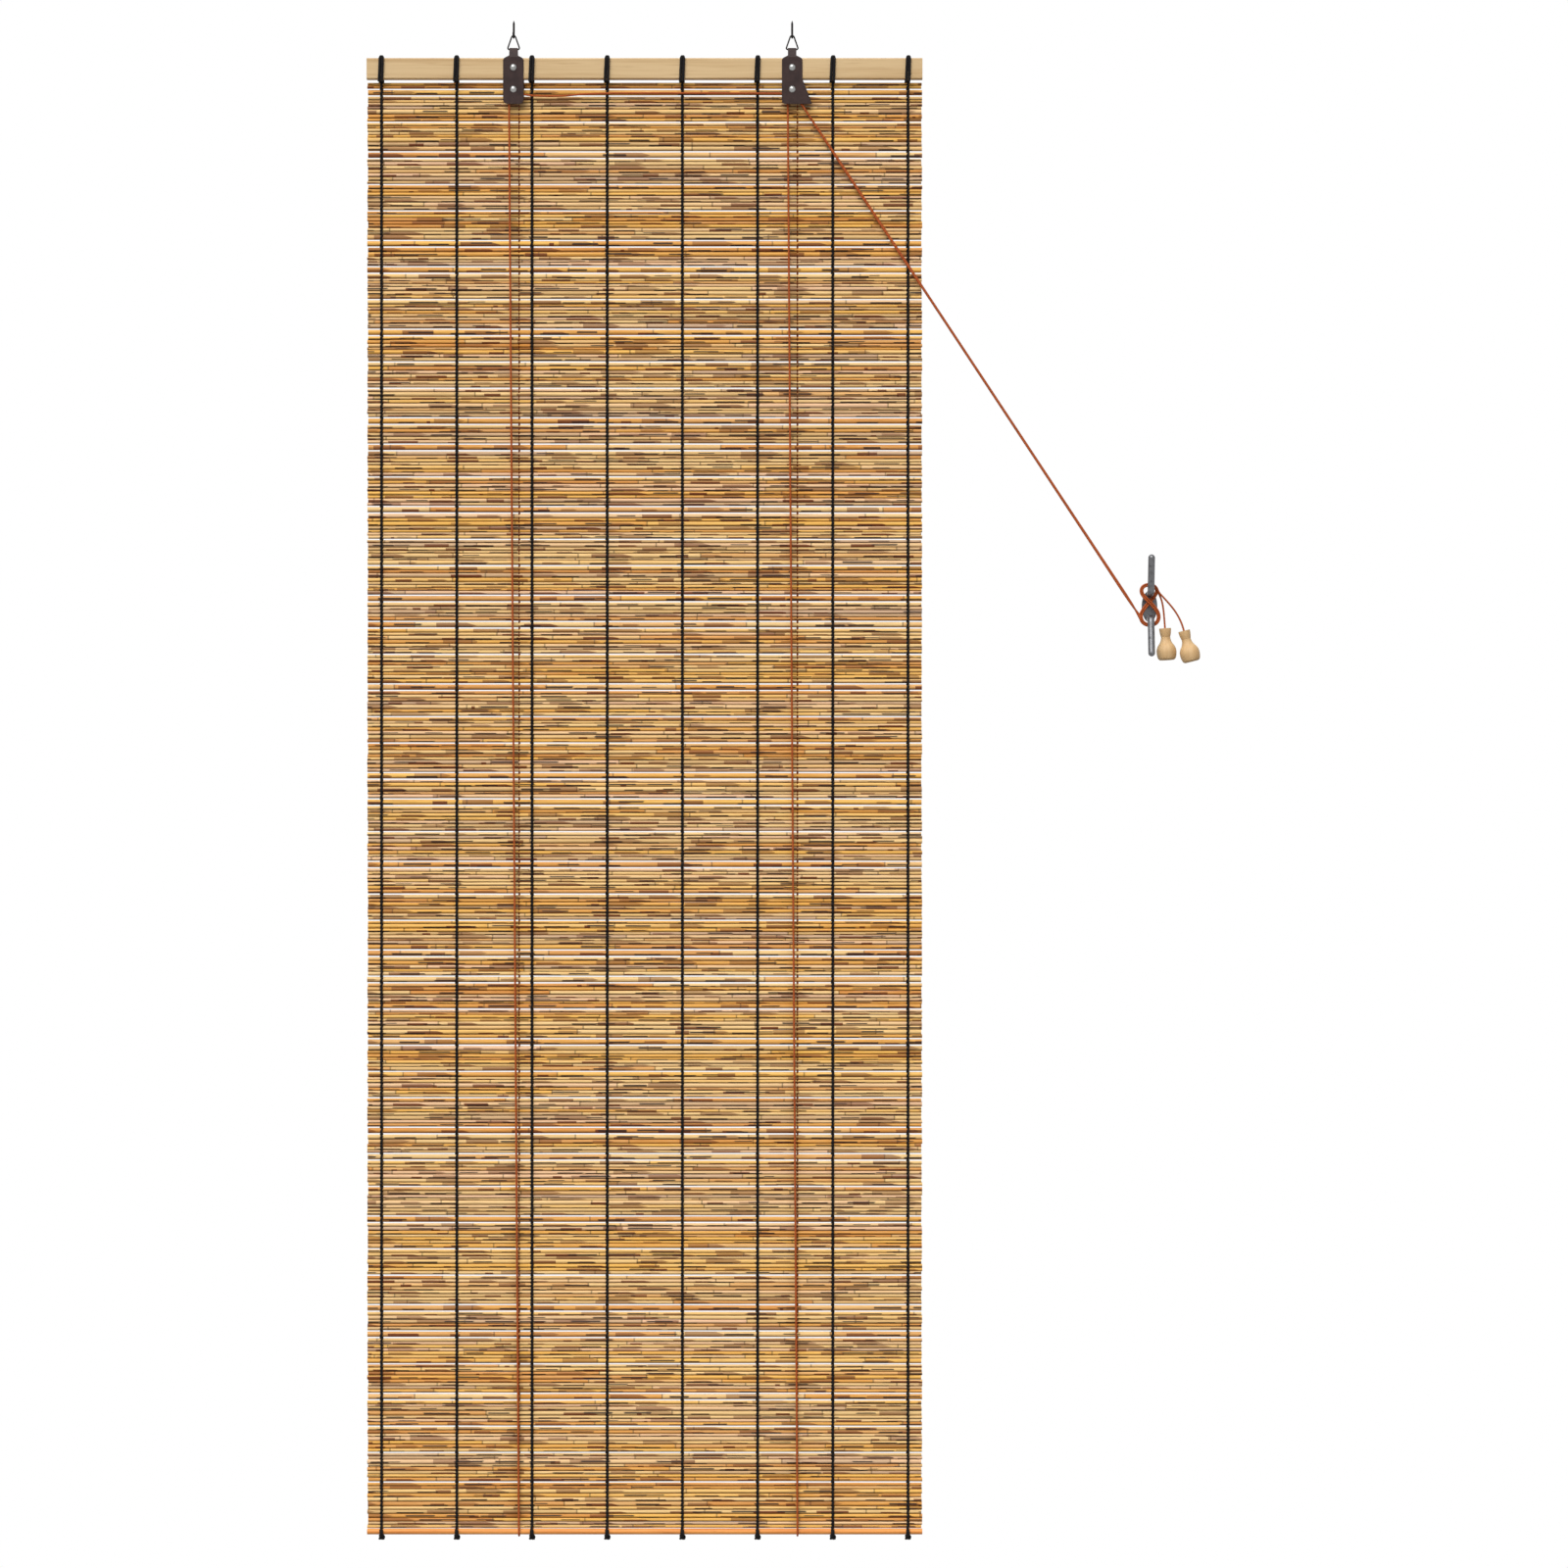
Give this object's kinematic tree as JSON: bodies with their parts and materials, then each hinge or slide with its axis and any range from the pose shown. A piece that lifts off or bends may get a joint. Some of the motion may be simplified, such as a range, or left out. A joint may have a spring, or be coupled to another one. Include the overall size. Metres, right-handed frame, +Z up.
{
  "type": "reed roll-up blind",
  "caption": "Lowered roll-up blind of horizontal reeds on black warp cords, hung from screw hooks, with pulleys, lift cords, wooden knobs and a wall cleat to tie off on.",
  "frame": {"origin": "midway between the two hook shanks, in the plane of the ceiling that they screw into", "axes": "+Z up, +X to the right of someone facing the blind, -Y towards that person"},
  "size_m": [0.9007, 0.0538, 1.6424],
  "materials": {
    "reed": "satin",
    "batten_wood": "satin",
    "rod_wood": "satin",
    "knob_wood": "satin",
    "bracket_paint": "satin",
    "rivet_steel": "bright",
    "hook_steel": "plated",
    "ring_steel": "plated",
    "pulley_plastic": "matt",
    "cleat_zinc": "cast, polished",
    "warp_cotton": "matt",
    "cord_rust": "matt"
  },
  "bodies": {
    "blind": {"screw_hooks": "hook_steel", "hanger_rings": "ring_steel", "head_batten": "batten_wood", "bracket_left": "bracket_paint", "bracket_right": "bracket_paint", "bracket_rivets": "rivet_steel", "pulley_axles": "bracket_paint", "reed_mat": "reed", "warp_loops": "warp_cotton", "warp_cords": "warp_cotton", "lift_front_left": "cord_rust", "lift_front_right": "cord_rust", "lift_back_left": "cord_rust", "lift_back_right": "cord_rust", "anchor_knots": "cord_rust", "pull_cord_left": "cord_rust", "pull_cord_right": "cord_rust", "belay_turns": "cord_rust", "cleat": "cleat_zinc", "cleat_screws": "rivet_steel", "knob_near": "knob_wood", "knob_far": "knob_wood", "knob_knots": "cord_rust"},
    "left_pulley": {"pulley_left": "pulley_plastic"},
    "right_pulley": {"pulley_right": "pulley_plastic"},
    "lift_loop": {"lift_loops": "cord_rust"},
    "rolling_rod": {"bottom_rod": "rod_wood", "warp_knots": "warp_cotton"}
  },
  "joints": [
    {"name": "lift", "type": "slide", "parent": "blind", "child": "lift_loop", "axis": [0, 0, 1], "range_m": [0, 1.4], "deforming": ["reed_mat", "warp_cords", "lift_front_left", "lift_front_right", "lift_back_left", "lift_back_right"]},
    {"name": "rod_roll", "type": "hinge", "parent": "lift_loop", "child": "rolling_rod", "pos_m": [-0.0089, -0.00005, -1.6236], "axis": [-1, 0, 0], "range_deg": [0, 3960]},
    {"name": "left_pulley_spin", "type": "hinge", "parent": "blind", "child": "left_pulley", "pos_m": [-0.1506, -0.00545, -0.0733], "axis": [0, 1, 0], "continuous": true},
    {"name": "right_pulley_spin", "type": "hinge", "parent": "blind", "child": "right_pulley", "pos_m": [0.1506, -0.00545, -0.0733], "axis": [0, 1, 0], "continuous": true}
  ],
  "couplings": [
    {"joint": "rod_roll", "follows": "lift", "rad_per_m": 49.368},
    {"joint": "left_pulley_spin", "follows": "lift", "rad_per_m": 419.29},
    {"joint": "right_pulley_spin", "follows": "lift", "rad_per_m": 419.29}
  ]
}
